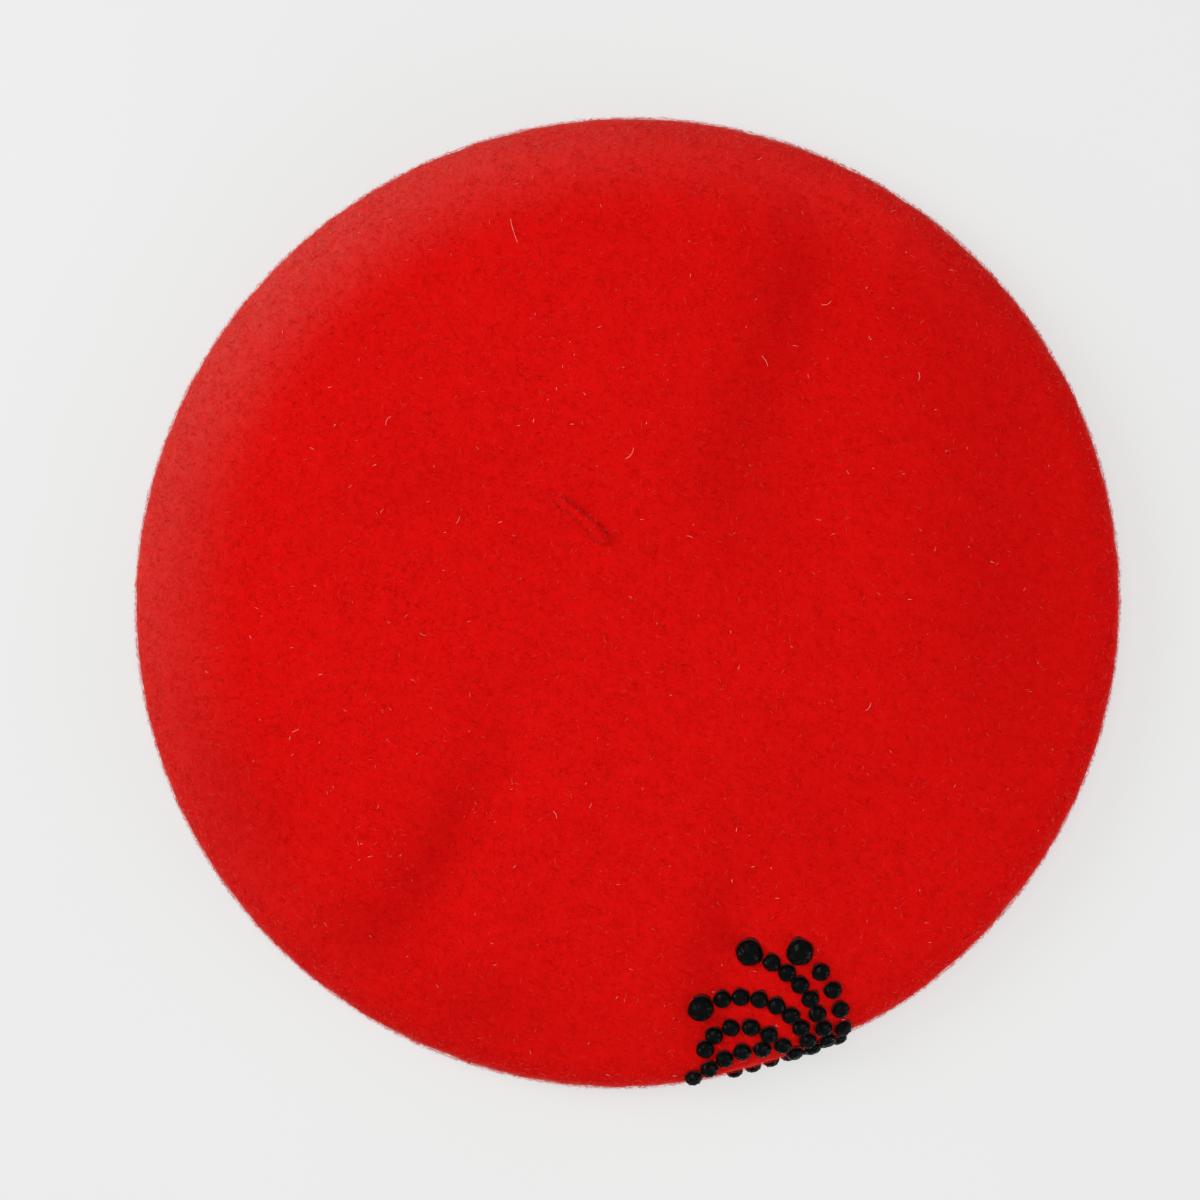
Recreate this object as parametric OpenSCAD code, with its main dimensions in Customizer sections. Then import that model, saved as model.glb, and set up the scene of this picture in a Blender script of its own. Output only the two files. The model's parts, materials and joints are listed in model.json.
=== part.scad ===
// Wool-felt beret, lying crown up as it does on a table.
// The origin is on the table under the middle of the hat, +Z is up, and +Y is the back of the hat.

/* [Felt shell] */
// Mean radius of the rim, where the felt turns under
crown_r = 139; // [130:1:146]
// Height of the crown's top above the table
crown_h = 31; // [28:1:34]
// Height of the rim's widest line
rim_h = 9; // [8:0.5:10]
// Plan width of the round lower edge
rim_w = 14; // [12:1:16]
// Fullness of the shoulder, where 2 is an ellipse
shoulder = 2.6; // [2.3:0.1:2.9]
// Thickness of the felt
felt_t = 2.2; // [1.8:0.1:2.6]
// Height of the collar turned up inside the head opening
collar_h = 8; // [6:0.5:9]
// Depth of the creases, as a share of the relaxed hat's
crease = 1; // [0:0.1:1]

/* [Sweatband] */
// Inner radius of the sweatband, which the head fits
head_r = 84; // [82:0.5:86]
// Thickness of the grosgrain ribbon
band_t = 0.8; // [0.6:0.1:1]
// Width of the ribbon
band_w = 20; // [16:1:20]
// Height of the ribbon's lower edge
band_z = 2; // [1:0.5:2.5]
// Stitches round the sweatband
stitches = 96; // [60:4:120]

/* [Stalk] */
// Length of the felt stalk, from its bend to its tip
stalk_l = 19; // [15:1:22]
// Diameter of the stalk
stalk_d = 3.8; // [3:0.2:4.4]
// Diameter of the knot under the crown
knot_d = 7; // [6:0.5:8]

/* [Stones] */
// Diameter of a small stone
stone_d = 5; // [4:0.1:5]
// Diameter of a tip stone
tip_d = 7.4; // [6.5:0.1:8]
// Height of a small stone
stone_h = 1.9; // [1.4:0.1:2.4]
// Thickness of the bead of glue under a stone
glue_h = 0.9; // [0.6:0.1:1.2]

/* [Care label] */
// Width of the label
label_w = 24; // [16:1:30]
// Length that hangs down from the label's seam
label_l = 11; // [8:1:12]
// Thickness of the folded label tape
label_t = 0.5; // [0.4:0.1:0.7]

/* [Hidden] */

felt_red = [0.82, 0.06, 0.05];
ribbon_black = [0.07, 0.07, 0.08];
thread_black = [0.12, 0.12, 0.13];
label_white = [0.93, 0.92, 0.89];
stone_black = [0.03, 0.03, 0.035];
glue_clear = [0.75, 0.72, 0.66];
gap = 0.3;              // clearance between pieces that move on each other
steps_round = 72;       // sections round the felt
fine = 48;

// ---- the felt's surface ----
oval = 1.2;             // the rim is a little wider one way
oval_turn = 15;         // direction of its longer diameter
// Soft creases in the crown, [from, depth, to, depth, half width].
CREASES = [[[-20, -12], 1.2, [-63, -98], 5, 12], [[40, -46], 1.2, [21, -124], 4, 13],
           [[40, 14], 2, [55, 106], 5, 17], [[112, 46], 2, [116, -36], 2, 22],
           [[-30, 38], 0.8, [-75, 10], 1.6, 12]];
hem_r = head_r + band_t + 0.2;      // wall of the head opening
crease_run = 22;                    // length over which a crease dies away at the rim

function smooth(x) = let (t = max(0, min(1, x))) t * t * (3 - 2 * t);
function sum(v, i = 0) = i < len(v) ? v[i] + sum(v, i + 1) : 0;
// The glued stones stiffen the felt, so the rim is a little flatter there: [angle, half width, depth].
FLAT = [-72, 11, 1.2];
function turn_from(a, b) = (a - b + 540) % 360 - 180;
function rim_r(a) = crown_r + oval * cos(2 * (a - oval_turn))
    - FLAT[2] * exp(-pow(turn_from(a, FLAT[0]) / FLAT[1], 2));
function crease_at(p, c) =
    let (along = c[2] - c[0], t = max(0, min(1, ((p - c[0]) * along) / (along * along))),
         d = norm(p - c[0] - t * along))
    (c[1] + t * (c[3] - c[1])) * exp(-pow(d / c[4], 2));
function crease_depth(p) = crease * sum([for (c = CREASES) crease_at(p, c)]);

// One quarter of the section above the rim and one below it, by the angle p from the rim.
function upper(p) = [crown_r * pow(max(cos(p), 0), 2 / shoulder),
                     rim_h + (crown_h - rim_h) * pow(max(sin(p), 0), 2 / shoulder)];
function lower(p) = [crown_r - rim_w + rim_w * cos(p), rim_h - rim_h * sin(p)];
turns = 200;
function angle_at(i) = 90 * pow(i / turns, 2);
// Tables of [distance over the felt from the rim, angle].
UPPER = [for (i = 0, d = 0; i <= turns; d = d + norm(upper(angle_at(i + 1)) - upper(angle_at(i))), i = i + 1)
         [d, angle_at(i)]];
LOWER = [for (i = 0, d = 0; i <= turns; d = d + norm(lower(angle_at(i + 1)) - lower(angle_at(i))), i = i + 1)
         [d, angle_at(i)]];
upper_end = UPPER[turns][0];
lower_end = LOWER[turns][0];
base_r = crown_r - rim_w;           // outer radius of the flat underside
// Radius and height at the distance u from the rim, where u is positive above it.
function meridian(u) = u >= 0 ? upper(lookup(u, UPPER))
    : u > -lower_end ? lower(lookup(-u, LOWER)) : [base_r + lower_end + u, 0];
function inward(u) = let (t = meridian(u + 0.2) - meridian(u - 0.2)) [-t[1], t[0]] / norm(t);
// A point of the felt at the angle a and the distance u, sunk by d under its outer face.
function felt_point(a, u, d = 0) =
    let (m = meridian(u) + d * inward(u), w = smooth((m[0] - hem_r) / (crown_r - hem_r)),
         r = m[0] + (rim_r(a) - crown_r) * w, p = r * [cos(a), sin(a)])
    [p[0], p[1], m[1] - (u > 0 ? crease_depth(p) * smooth(u / crease_run) : 0)];
function felt_normal(a, u) =
    let (e = 0.3, da = e / crown_r * 180 / PI,
         n = cross(felt_point(a + da, u) - felt_point(a - da, u), felt_point(a, u + e) - felt_point(a, u - e)))
    n / norm(n);

// ---- the felt shell ----
// Distances from the rim of the sections, closer together round the rim.
CROWN_U = [for (i = [0:17]) upper_end * (1 - pow(i / 18, 0.55)) ];
RIM_U = [for (i = [0:6]) -lower_end * i / 6];
hem_u = -lower_end - (base_r - hem_r);
collar_r = hem_r + felt_t;
flat_u = [hem_u + 25, hem_u + 10];
function ring(a, flat) = [flat[0] * cos(a), flat[0] * sin(a), flat[1]];
FELT_OUT = [for (i = [1:17]) CROWN_U[i]];
// The rings run from the crown's middle over the outside, up the collar, and back along the inside.
function felt_rings(a) = concat(
    [for (u = FELT_OUT) felt_point(a, u)],
    [for (u = RIM_U) felt_point(a, u)],
    [for (u = flat_u) felt_point(a, u)],
    [for (q = [[hem_r, 0], [hem_r, collar_h], [collar_r, collar_h], [collar_r, felt_t]]) ring(a, q)],
    [for (i = [1:-1:0]) felt_point(a, flat_u[i], felt_t)],
    [for (i = [6:-1:0]) felt_point(a, RIM_U[i], felt_t)],
    [for (i = [17:-1:1]) felt_point(a, CROWN_U[i], felt_t)]);

module felt_body() {
    rings = len(felt_rings(0));
    round = [for (j = [0:steps_round - 1]) felt_rings(360 * j / steps_round)];
    top = felt_point(0, upper_end);
    under = [top[0], top[1], top[2] - felt_t];
    points = concat([for (r = round) each r], [top, under]);
    last = steps_round * rings;
    walls = [for (j = [0:steps_round - 1], i = [0:rings - 2])
             let (k = (j + 1) % steps_round, a = j * rings + i, b = k * rings + i)
             each [[a, a + 1, b], [b, a + 1, b + 1]]];
    caps = [for (j = [0:steps_round - 1])
            let (k = (j + 1) % steps_round)
            each [[j * rings, k * rings, last], [j * rings + rings - 1, last + 1, k * rings + rings - 1]]];
    color(felt_red) polyhedron(points, concat(walls, caps), convexity = 6);
}

// ---- the stalk ----
stalk_base = [-7.4, 18];            // where the stalk leaves the crown
stalk_turn = 138;                   // direction in which it lies
function crown_top(p) = crown_h - crease_depth(p) - (crown_h - rim_h)
    * (1 - pow(1 - pow(norm(p) / crown_r, shoulder), 1 / shoulder));
stalk_z = crown_top(stalk_base);
neck_h = 0.8;
bend_z = stalk_z + neck_h + gap + stalk_d / 2;
module crown_stalk() {
    fall = 2.5;                     // the stalk droops to follow the crown
    color(felt_red) translate([stalk_base[0], stalk_base[1], bend_z]) rotate([0, 90 + fall, stalk_turn])
        rotate_extrude($fn = fine) difference() {
            union() {
                circle(d = stalk_d);
                square([stalk_d / 2, stalk_l - stalk_d / 2]);
                translate([0, stalk_l - stalk_d / 2]) circle(d = stalk_d);
            }
            translate([-stalk_l, -stalk_l]) square([stalk_l, 3 * stalk_l]);
        }
}
module stalk_knot() {
    below = felt_t + 1.6;
    color(felt_red) translate([stalk_base[0], stalk_base[1], 0]) {
        translate([0, 0, stalk_z - below - 1]) cylinder(h = below + 1 + neck_h, d = stalk_d, $fn = fine);
        translate([0, 0, stalk_z - below - 1]) rotate_extrude($fn = fine)
            translate([knot_d / 4, 0]) circle(d = knot_d / 2 - 0.2);
    }
}

// ---- the sweatband ----
module tube(r, t, h) {
    difference() {
        cylinder(r = r + t, h = h, $fn = 144);
        translate([0, 0, -1]) cylinder(r = r, h = h + 2, $fn = 144);
    }
}
module sweatband() {
    color(ribbon_black) translate([0, 0, band_z]) tube(head_r, band_t, band_w);
}
module stitch_at(a, z, long, tall) {
    sink = 0.05;
    thread = 0.4;
    rotate([0, 0, a]) translate([head_r + sink, -long / 2, z - tall / 2]) cube([thread, long, tall]);
}
module sweatband_stitching() {
    color(thread_black) for (i = [0:stitches - 1]) stitch_at(360 * (i + 0.5) / stitches, band_z + 2, 3, 0.5);
}
module band_seam_stitching() {
    seam_stitches = 5;
    seam_gap = (band_w - 6) / seam_stitches;
    color(thread_black) for (i = [0:seam_stitches - 1])
        stitch_at(90, band_z + 5 + seam_gap * (i + 0.5), 0.5, 2);
}

// ---- the care label, which hangs behind the sweatband from its top edge ----
band_back = head_r + band_t + gap;   // the label hangs this far behind the hat's middle
label_top = band_z + band_w - 1.2;
module care_label() {
    color(label_white) translate([-label_w / 2, band_back, label_top - label_l])
        cube([label_w, label_t, label_l]);
}
module label_stitching() {
    count = 7;
    color(thread_black) for (i = [0:count - 1])
        translate([label_w * ((i + 0.5) / count - 0.5) - 0.9, band_back + label_t, label_top - 1.6])
            cube([1.8, 0.3, 0.4]);
}

// ---- the fan of stones ----
// Each row runs over the felt from the fan's foot, straight at first and then round a bend:
// [distance along the rim, distance over the rim, heading, straight length, bend in degrees, radius of
// the bend, pitch, stones, gap to a tip stone or 0].
fan_angle = -67;
ROWS = [[7, 1.5, 70, 4, 60, 38, 6.8, 5, 9],
        [4, 5.5, 90, 12, 60, 32, 5.4, 7, 7],
        [-1, 3.5, 95, 10, 110, 18, 5.2, 8, 7],
        [-6.3, 5, 115, 10, 120, 11, 5.6, 7, 0],
        [-14.5, 11, 168, 3, 35, 14, 5.7, 5, 0],
        [3, -1.5, 180, 0, 0, 1, 5.5, 6, 0],
        [0.5, -6.5, 180, 0, 0, 1, 5.5, 5, 0]];
walk_step = 0.25;
function row_heading(row, at) = row[2] + max(0, min(row[4], (at - row[3]) / row[5] * 180 / PI));
function walk(row, d, p, at = 0) = at >= d - 0.001 ? p
    : let (s = min(walk_step, d - at), h = row_heading(row, at))
      walk(row, d, p + s * [cos(h), sin(h)], at + s);
function row_place(row, d) = walk(row, d, [row[0], row[1]]);
function row_stones(row) = [for (i = [0:row[7] - 1]) row_place(row, i * row[6])];
function row_tip(row) = row_place(row, (row[7] - 1) * row[6] + row[8]);
TIPS = [for (row = ROWS) if (row[8] > 0) row_tip(row)];

module on_felt(place, lift) {
    a = fan_angle + place[0] / meridian(place[1])[0] * 180 / PI;
    n = felt_normal(a, place[1]);
    translate(felt_point(a, place[1]) + lift * n) rotate([0, acos(n[2]), atan2(n[1], n[0])]) children();
}
stone_lift = 0.5;
module stone(d) {
    r = d / 2;
    h = stone_h * d / stone_d;
    color(stone_black) rotate_extrude($fn = fine)
        polygon([[0, 0], [r, 0], [r, 0.25 * h], [0.55 * r, h], [0, h]]);
}
module stones(places, d) {
    for (p = places) on_felt(p, stone_lift) stone(d);
}
module glue(places, d) {
    color(glue_clear) for (p = places) on_felt(p, stone_lift - glue_h) cylinder(h = glue_h, d = 0.8 * d, $fn = fine);
}
module tip_stones() { stones(TIPS, tip_d); }
module tip_glue() { glue(TIPS, tip_d); }
module arc_1_stones() { stones(row_stones(ROWS[0]), stone_d); }
module arc_2_stones() { stones(row_stones(ROWS[1]), stone_d); }
module arc_3_stones() { stones(row_stones(ROWS[2]), stone_d); }
module arc_4_stones() { stones(row_stones(ROWS[3]), stone_d); }
module arc_5_stones() { stones(row_stones(ROWS[4]), stone_d); }
module arc_6_stones() { stones(row_stones(ROWS[5]), stone_d); }
module arc_7_stones() { stones(row_stones(ROWS[6]), stone_d); }
module arc_1_glue() { glue(row_stones(ROWS[0]), stone_d); }
module arc_2_glue() { glue(row_stones(ROWS[1]), stone_d); }
module arc_3_glue() { glue(row_stones(ROWS[2]), stone_d); }
module arc_4_glue() { glue(row_stones(ROWS[3]), stone_d); }
module arc_5_glue() { glue(row_stones(ROWS[4]), stone_d); }
module arc_6_glue() { glue(row_stones(ROWS[5]), stone_d); }
module arc_7_glue() { glue(row_stones(ROWS[6]), stone_d); }

felt_body();
stalk_knot();
crown_stalk();
sweatband();
sweatband_stitching();
band_seam_stitching();
care_label();
label_stitching();
tip_stones();
tip_glue();
arc_1_stones();
arc_2_stones();
arc_3_stones();
arc_4_stones();
arc_5_stones();
arc_6_stones();
arc_7_stones();
arc_1_glue();
arc_2_glue();
arc_3_glue();
arc_4_glue();
arc_5_glue();
arc_6_glue();
arc_7_glue();
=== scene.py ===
"""The looks of a red wool-felt beret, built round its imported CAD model.

The felt's surface is the same formula as in the CAD source: a section above and below the rim, a rim that is
not quite round, and soft creases in the crown. Lengths in this file are millimetres until a mesh is made, and
angles are degrees. Lights, textures and the camera are in metres.
"""
import json
import math

import bpy
import numpy as np
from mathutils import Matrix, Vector


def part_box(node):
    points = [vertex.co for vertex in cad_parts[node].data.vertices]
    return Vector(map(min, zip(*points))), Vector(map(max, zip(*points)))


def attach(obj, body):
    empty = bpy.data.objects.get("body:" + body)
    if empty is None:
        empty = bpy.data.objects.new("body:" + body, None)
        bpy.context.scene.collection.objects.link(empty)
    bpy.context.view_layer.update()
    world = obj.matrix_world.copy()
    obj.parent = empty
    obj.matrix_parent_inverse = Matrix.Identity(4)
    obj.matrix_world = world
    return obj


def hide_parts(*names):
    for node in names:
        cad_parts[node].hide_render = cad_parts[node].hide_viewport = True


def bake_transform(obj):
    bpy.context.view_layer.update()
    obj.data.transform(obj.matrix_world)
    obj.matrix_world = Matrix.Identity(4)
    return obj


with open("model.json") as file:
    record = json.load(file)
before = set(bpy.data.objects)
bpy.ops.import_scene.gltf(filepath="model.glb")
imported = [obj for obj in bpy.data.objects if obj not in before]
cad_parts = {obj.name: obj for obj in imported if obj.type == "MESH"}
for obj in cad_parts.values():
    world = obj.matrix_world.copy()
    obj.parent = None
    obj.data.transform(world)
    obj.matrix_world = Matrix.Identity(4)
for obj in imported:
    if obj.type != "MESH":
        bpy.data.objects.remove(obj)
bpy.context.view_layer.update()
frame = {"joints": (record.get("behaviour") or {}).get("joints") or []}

MM = 0.001
SEED = 20

# ---------------------------------------------------------------- the hat's driving sizes, from the frame
band_low, band_high = (np.array(corner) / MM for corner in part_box("sweatband"))
CROWN_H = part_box("felt_body")[1][2] / MM
CROWN_R = 139.0             # mean radius of the rim
RIM_H = 9.0                 # height of the rim's widest line
RIM_W = 14.0                # plan width of the round lower edge
SHOULDER = 2.6              # power of the section above the rim: 2 is an ellipse
FELT_T = 2.2
COLLAR_H = 8.0              # height of the felt turned up in the head opening
BAND_T = 0.8
HEAD_R = band_high[0] - BAND_T
HEM_R = band_high[0] + 0.2  # inner radius of the felt round the ribbon
BASE_R = CROWN_R - RIM_W    # where the felt leaves the table

OVAL, OVAL_TURN = 1.2, 15   # the rim is a little wider one way
FLAT = (-72, 11, 1.2)       # the glued stones keep the rim flatter here: (angle, half width, depth)
# Soft creases in the crown: (from, depth, to, depth, half width).
CREASES = [((-20, -12), 1.2, (-63, -98), 5, 12), ((40, -46), 1.2, (21, -124), 4, 13),
           ((40, 14), 2, (55, 106), 5, 17), ((112, 46), 2, (116, -36), 2, 22),
           ((-30, 38), 0.8, (-75, 10), 1.6, 12)]
CREASE_RUN = 22             # length over which a crease dies away at the rim


# ---------------------------------------------------------------- the felt's surface
def smooth(x):
    t = np.clip(x, 0, 1)
    return t * t * (3 - 2 * t)


def rim_radius(a):
    """Radius of the rim at the angles a, in degrees."""
    wider = OVAL * np.cos(np.radians(2 * (a - OVAL_TURN)))
    off = (a - FLAT[0] + 180) % 360 - 180
    return CROWN_R + wider - FLAT[2] * np.exp(-(off / FLAT[1]) ** 2)


def crease_depth(x, y):
    """How far the creases push the crown down at a place."""
    depth = np.zeros(np.broadcast(x, y).shape)
    for (x1, y1), d1, (x2, y2), d2, half_width in CREASES:
        ex, ey = x2 - x1, y2 - y1
        t = np.clip(((x - x1) * ex + (y - y1) * ey) / (ex * ex + ey * ey), 0, 1)
        away = np.hypot(x - x1 - t * ex, y - y1 - t * ey)
        depth = depth + (d1 + t * (d2 - d1)) * np.exp(-(away / half_width) ** 2)
    return depth


def upper(p):
    """Radius and height above the rim, for p from 0 at the rim to pi / 2 at the crown's middle."""
    c, s = np.maximum(np.cos(p), 0), np.maximum(np.sin(p), 0)
    return CROWN_R * c ** (2 / SHOULDER), RIM_H + (CROWN_H - RIM_H) * s ** (2 / SHOULDER)


def lower(p):
    """Radius and height under the rim, for p from 0 at the rim to pi / 2 on the table."""
    return BASE_R + RIM_W * np.cos(p), RIM_H - RIM_H * np.sin(p)


def arc_table(quarter):
    """Distances over the felt from the rim, with the radii and heights there."""
    p = math.pi / 2 * np.linspace(0, 1, 1200) ** 2
    r, z = quarter(p)
    d = np.concatenate([[0], np.cumsum(np.hypot(np.diff(r), np.diff(z)))])
    return d, r, z


UPPER, LOWER = arc_table(upper), arc_table(lower)
CROWN_U = UPPER[0][-1]      # distance over the felt from the rim to the crown's middle
LOWER_U = LOWER[0][-1]      # and from the rim down to the table
HEM_U = -LOWER_U - (BASE_R - HEM_R)


def meridian(u):
    """Radius and height at the distances u over the felt from the rim, positive above it."""
    u = np.asarray(u, float)
    d_up, r_up, z_up = UPPER
    d_low, r_low, z_low = LOWER
    r = np.where(u >= 0, np.interp(u, d_up, r_up), np.interp(-u, d_low, r_low))
    z = np.where(u >= 0, np.interp(u, d_up, z_up), np.interp(-u, d_low, z_low))
    return np.where(u < -LOWER_U, BASE_R + LOWER_U + u, r), z


def felt_point(a, u, sink=0.0):
    """Points of the felt at the angles a and distances u, sunk under its outer face."""
    r, z = meridian(u)
    if np.any(sink):
        e = 0.2
        r2, z2 = meridian(u + e)
        r1, z1 = meridian(u - e)
        size = np.hypot(r2 - r1, z2 - z1)
        r = r - sink * (z2 - z1) / size
        z = z + sink * (r2 - r1) / size
    r = r + (rim_radius(a) - CROWN_R) * smooth((r - HEM_R) / (CROWN_R - HEM_R))
    x, y = r * np.cos(np.radians(a)), r * np.sin(np.radians(a))
    z = z - np.where(u > 0, crease_depth(x, y) * smooth(np.asarray(u) / CREASE_RUN), 0)
    return np.stack([x, y, z], -1)


def felt_normal(a, u):
    e = 0.3
    turn = np.degrees(e / CROWN_R)
    across = felt_point(a + turn, u) - felt_point(a - turn, u)
    up = felt_point(a, u + e) - felt_point(a, u - e)
    n = np.cross(across, up)
    return n / np.linalg.norm(n, axis=-1, keepdims=True)


def unit(v):
    return v / np.linalg.norm(v, axis=-1, keepdims=True)


def lumps(p, scale, seed):
    """Smooth noise, mostly from -1 to 1, at the points p, with lumps of about the given size."""
    waves, loudest = 36, 1.4
    rng = np.random.default_rng(seed)
    k = unit(rng.normal(size=(waves, 3))) * rng.uniform(0.6, 1.5, (waves, 1)) * 2 * math.pi / scale
    phase = rng.uniform(0, 2 * math.pi, waves)
    total = np.zeros(p.shape[:-1])
    for direction, shift in zip(k, phase):
        total += np.sin(p @ direction + shift)
    return total / math.sqrt(waves) / loudest


# ---------------------------------------------------------------- meshes
def make_mesh(name, points, faces, materials, smooth_faces=True, material_of=None):
    """An object from points in millimetres. faces is a list of arrays, each with faces of one size."""
    mesh = bpy.data.meshes.new(name)
    points = np.asarray(points, np.float32) * MM
    groups = [np.asarray(f, np.int32) for f in faces if len(f)]
    totals = np.concatenate([np.full(len(g), g.shape[1], np.int32) for g in groups])
    mesh.vertices.add(len(points))
    mesh.vertices.foreach_set("co", points.ravel())
    mesh.loops.add(int(totals.sum()))
    mesh.loops.foreach_set("vertex_index", np.concatenate([g.ravel() for g in groups]))
    mesh.polygons.add(len(totals))
    starts = np.concatenate([[0], np.cumsum(totals)[:-1]]).astype(np.int32)
    mesh.polygons.foreach_set("loop_start", starts)
    mesh.polygons.foreach_set("use_smooth", np.full(len(totals), smooth_faces))
    for material in materials:
        mesh.materials.append(material)
    if material_of is not None:
        mesh.polygons.foreach_set("material_index", np.asarray(material_of, np.int32))
    mesh.update(calc_edges=True)
    mesh.validate()
    piece = bpy.data.objects.new(name, mesh)
    bpy.context.scene.collection.objects.link(piece)
    return piece


def grid_faces(rows, columns, closed_rows=False, closed_columns=True):
    """Quads between rows of points, each row with the given number of columns."""
    i = np.arange(rows if closed_rows else rows - 1)
    j = np.arange(columns if closed_columns else columns - 1)
    i, j = np.meshgrid(i, j, indexing="ij")
    i2, j2 = (i + 1) % rows, (j + 1) % columns
    quads = np.stack([i * columns + j, i * columns + j2, i2 * columns + j2, i2 * columns + j], -1)
    return quads.reshape(-1, 4)


def tube(path, radii, sides=10, flat=1.0, up=(0, 0, 1)):
    """Points and faces of a closed tube along a path, with a point at each end."""
    path, radii = np.asarray(path, float), np.asarray(radii, float)
    along = unit(np.gradient(path, axis=0))
    side = unit(np.cross(np.asarray(up, float) + 1e-6, along))
    top = np.cross(along, side)
    a = np.linspace(0, 2 * math.pi, sides, endpoint=False)
    ring = np.cos(a)[None, :, None] * side[:, None] + flat * np.sin(a)[None, :, None] * top[:, None]
    points = (path[:, None] + radii[:, None, None] * ring).reshape(-1, 3)
    n = len(path)
    tips = np.array([path[0] - along[0] * radii[0] * 0.5, path[-1] + along[-1] * radii[-1] * 0.5])
    j, last = np.arange(sides), (n - 1) * sides
    start = np.stack([np.full(sides, n * sides), (j + 1) % sides, j], -1)
    end = np.stack([np.full(sides, n * sides + 1), last + j, last + (j + 1) % sides], -1)
    return np.vstack([points, tips]), grid_faces(n, sides), np.vstack([start, end])


def join_parts(parts):
    """One set of points, quads and triangles from several."""
    points, quads, triangles, at = [], [], [], 0
    for p, q, t in parts:
        points.append(p)
        quads.append(np.asarray(q) + at)
        triangles.append(np.asarray(t) + at)
        at += len(p)
    return np.vstack(points), np.vstack(quads), np.vstack(triangles)


def fibres(name, roots, lie, lift, length, width, bend, materials, rng, pale=None):
    """Tapered fibres as closed spikes. Each starts at a root, runs along lie, rises by lift, curls by bend.

    The last material is the palest, and pale is the share of the fibres that take it at each root.
    """
    count = len(roots)
    side = unit(np.cross(lie, lift))
    t = np.array([0.0, 0.33, 0.7, 1.0])     # the root, two rings of three points and the tip
    rise = rng.uniform(0.1, 1, (count, 1)) * length[:, None]
    along = t[None] * length[:, None]
    curl = bend[:, None] * (t[None] ** 2) * length[:, None]
    path = (roots[:, None] + along[..., None] * lie[:, None] + curl[..., None] * side[:, None]
            + (np.sin(t * math.pi * 0.8)[None] * rise * 0.35)[..., None] * lift[:, None])
    a = np.radians([90, 210, 330])
    ring = np.cos(a)[None, :, None] * side[:, None] + np.sin(a)[None, :, None] * lift[:, None]
    ring = ring * width[:, None, None] / 2
    points = [path[:, :1], path[:, 1:2] + ring, path[:, 2:3] + ring * 0.8, path[:, 3:]]
    points = np.concatenate(points, axis=1)
    one = [[0, 2, 1], [0, 3, 2], [0, 1, 3], [1, 2, 5], [1, 5, 4], [2, 3, 6], [2, 6, 5], [3, 1, 4], [3, 4, 6],
           [4, 5, 7], [5, 6, 7], [6, 4, 7]]
    faces = (np.array(one)[None] + points.shape[1] * np.arange(count)[:, None, None]).reshape(-1, 3)
    kind = rng.integers(0, len(materials), count)
    if pale is not None:
        palest = len(materials) - 1
        kind = np.where(rng.uniform(0, 1, count) < pale, palest, kind % palest)
    kind = np.repeat(kind, len(one))
    return make_mesh(name, points.reshape(-1, 3), [faces], materials, True, kind)


# ---------------------------------------------------------------- materials
def new_material(name):
    material = bpy.data.materials.new(name)
    material.use_nodes = True
    nodes, links = material.node_tree.nodes, material.node_tree.links
    return material, nodes, links, nodes["Principled BSDF"]


def texture(nodes, links, kind, scale, stretch=(1, 1, 1), **settings):
    """A texture node in the object's own space; scale is in features per metre."""
    place = nodes.new("ShaderNodeTexCoord")
    mapping = nodes.new("ShaderNodeMapping")
    mapping.inputs["Scale"].default_value = stretch
    node = nodes.new(kind)
    links.new(place.outputs["Object"], mapping.inputs["Vector"])
    links.new(mapping.outputs["Vector"], node.inputs["Vector"])
    node.inputs["Scale"].default_value = scale
    for key, value in settings.items():
        node.inputs[key].default_value = value
    return node


def ramp(nodes, links, source, stops):
    node = nodes.new("ShaderNodeValToRGB")
    while len(node.color_ramp.elements) < len(stops):
        node.color_ramp.elements.new(0.5)
    for element, (at, colour) in zip(node.color_ramp.elements, stops):
        element.position = at
        element.color = (*colour, 1)
    links.new(source, node.inputs["Fac"])
    return node.outputs["Color"]


def mix(nodes, links, factor, a, b):
    node = nodes.new("ShaderNodeMix")
    node.data_type = "RGBA"
    for name, value in (("Factor", factor), ("A", a), ("B", b)):
        socket = node.inputs[name]
        if isinstance(value, bpy.types.NodeSocket):
            links.new(value, socket)
        else:
            socket.default_value = value if isinstance(value, float) else (*value, 1)
    return node.outputs["Result"]


def bump(nodes, links, height, distance, strength, below=None):
    node = nodes.new("ShaderNodeBump")
    node.inputs["Distance"].default_value = distance
    node.inputs["Strength"].default_value = strength
    links.new(height, node.inputs["Height"])
    if below is not None:
        links.new(below, node.inputs["Normal"])
    return node.outputs["Normal"]


RED = (0.67, 0.0040, 0.0034)
DEEP_RED = (0.59, 0.0030, 0.0028)
PALE_RED = (0.73, 0.011, 0.009)
# A dark red painted shade for the crown's creases.
PAINTED_SHADE_RED = (0.28, 0.0010, 0.0008)
# A pale pink painted sheen for the felt by the rim.
PAINTED_SHEEN = (0.62, 0.055, 0.045)

PAINTED_SHEEN_ANGLE = 136.0         # side of the hat where the painted sheen is strongest, towards the light
PAINTED_SHEEN_FROM = 0.77           # share of the crown's radius where it begins
PAINTED_SHEEN_FULL = 1.02           # and where it is full
PAINTED_SHEEN_POWER = 3.5           # how quickly it fades round the hat


def painted_sheen_share(x, y):
    """How much painted sheen lightens a place of the crown: more by the rim, most on the side towards the
    light.
    """
    r = np.hypot(x, y) / CROWN_R
    side = 0.5 + 0.5 * np.cos(np.arctan2(y, x) - math.radians(PAINTED_SHEEN_ANGLE))
    return smooth((r - PAINTED_SHEEN_FROM) / (PAINTED_SHEEN_FULL - PAINTED_SHEEN_FROM)) * side ** PAINTED_SHEEN_POWER
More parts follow.
